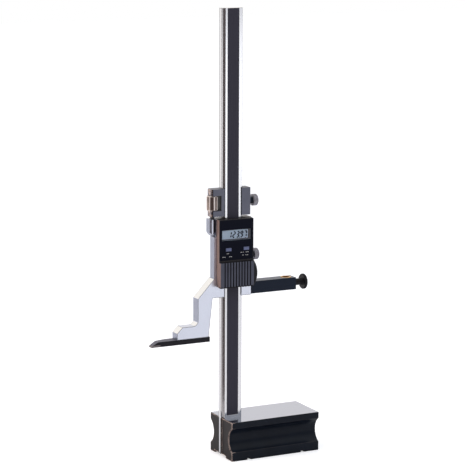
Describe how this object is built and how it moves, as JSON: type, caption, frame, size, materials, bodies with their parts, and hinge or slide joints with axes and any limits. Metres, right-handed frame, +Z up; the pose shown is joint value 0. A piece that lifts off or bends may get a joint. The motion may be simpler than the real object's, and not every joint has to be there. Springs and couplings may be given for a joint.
{
  "type": "height gauge",
  "caption": "Digital height gauge: waisted base, stepped beam, slider with jaw, scriber, display, fine adjustment and an indicator bar.",
  "frame": {"origin": "middle of the base's footprint, on the plane that the base rests on", "axes": "+Z up along the beam, +X along the base from the scriber's side to the indicator bar, -Y the front with the display"},
  "size_m": [0.1829, 0.0494, 0.462],
  "materials": {
    "painted_casting": "black paint, ground top face",
    "hardened_steel": "ground and lapped",
    "scale_black": "satin black",
    "screw_steel": "blackened",
    "dark_steel": "dark satin",
    "gib_bronze": "ground",
    "knurled_steel": "knurled, satin",
    "satin_steel": "satin",
    "black_steel": "blackened, satin",
    "carbide": "lapped",
    "brass": "turned",
    "black_knurled": "knurled, blackened",
    "housing_black": "moulded, fine grain",
    "gloss_panel": "gloss",
    "clear_window": "clear",
    "display_glass": "reflective display",
    "elastomer": "matt",
    "board_green": "solder mask",
    "switch_plastic": "moulded",
    "cell_steel": "plated",
    "contact_metal": "plated spring",
    "button_blue": "moulded",
    "cover_black": "moulded, ribbed"
  },
  "bodies": {
    "base": {"base_block": "painted_casting", "column_beam": "hardened_steel", "scale_strip": "scale_black", "column_screws": "screw_steel"},
    "carriage": {"clamp_carriage": "dark_steel", "carriage_gib": "gib_bronze"},
    "carriage_clamp": {"carriage_clamp_screw": "knurled_steel"},
    "adjusting_nut": {"fine_adjust_nut": "knurled_steel"},
    "slider": {"slider_frame": "satin_steel", "slider_gib": "gib_bronze", "gib_set_screws": "screw_steel", "fine_adjust_screw": "screw_steel", "scriber": "black_steel", "scriber_tip": "carbide", "scriber_screws": "screw_steel", "indicator_bar": "black_steel", "indicator_bar_screws": "screw_steel", "clamp_bush": "brass", "head_housing": "housing_black", "head_screws": "screw_steel", "front_panel": "gloss_panel", "display_window": "clear_window", "display_module": "display_glass", "elastomer_connectors": "elastomer", "circuit_board": "board_green", "tactile_switches": "switch_plastic", "read_head": "board_green", "battery": "cell_steel", "battery_contacts": "contact_metal"},
    "slider_clamp": {"slider_clamp_screw": "knurled_steel"},
    "indicator_clamp": {"indicator_clamp_knob": "black_knurled"},
    "left_push_button": {"left_button": "button_blue"},
    "right_push_button": {"right_button": "button_blue"},
    "battery_door": {"battery_cover": "cover_black"}
  },
  "joints": [
    {"name": "column_travel", "type": "slide", "parent": "base", "child": "carriage", "axis": [0, 0, 1], "range_m": [-0.12097, 0.17403]},
    {"name": "fine_nut_turn", "type": "hinge", "parent": "carriage", "child": "adjusting_nut", "pos_m": [-0.0614, 0.0001, 0.2653], "axis": [0, 0, 1], "range_deg": [-901, 1351]},
    {"name": "fine_travel", "type": "slide", "parent": "carriage", "child": "slider", "axis": [0, 0, 1], "range_m": [-0.003, 0.002]},
    {"name": "carriage_clamp_turn", "type": "hinge", "parent": "carriage", "child": "carriage_clamp", "pos_m": [-0.0185, 0.0001, 0.26617], "axis": [1, 0, 0], "range_deg": [0, 360]},
    {"name": "slider_clamp_turn", "type": "hinge", "parent": "slider", "child": "slider_clamp", "pos_m": [-0.0175, 0.0001, 0.21017], "axis": [1, 0, 0], "range_deg": [0, 360]},
    {"name": "indicator_clamp_turn", "type": "hinge", "parent": "slider", "child": "indicator_clamp", "pos_m": [0.033, 0.00115, 0.17597], "axis": [1, 0, 0], "range_deg": [0, 540]},
    {"name": "left_button_press", "type": "slide", "parent": "slider", "child": "left_push_button", "axis": [0, 1, 0], "range_m": [0, 0.0006], "stiffness_N_per_m": 1000, "springref_m": -0.0005},
    {"name": "right_button_press", "type": "slide", "parent": "slider", "child": "right_push_button", "axis": [0, 1, 0], "range_m": [0, 0.0006], "stiffness_N_per_m": 1000, "springref_m": -0.0005},
    {"name": "battery_door_slide", "type": "slide", "parent": "slider", "child": "battery_door", "axis": [1, 0, 0], "range_m": [0, 0.038]}
  ],
  "couplings": [
    {"joint": "fine_nut_turn", "follows": "fine_travel", "rad_per_m": -7854}
  ]
}
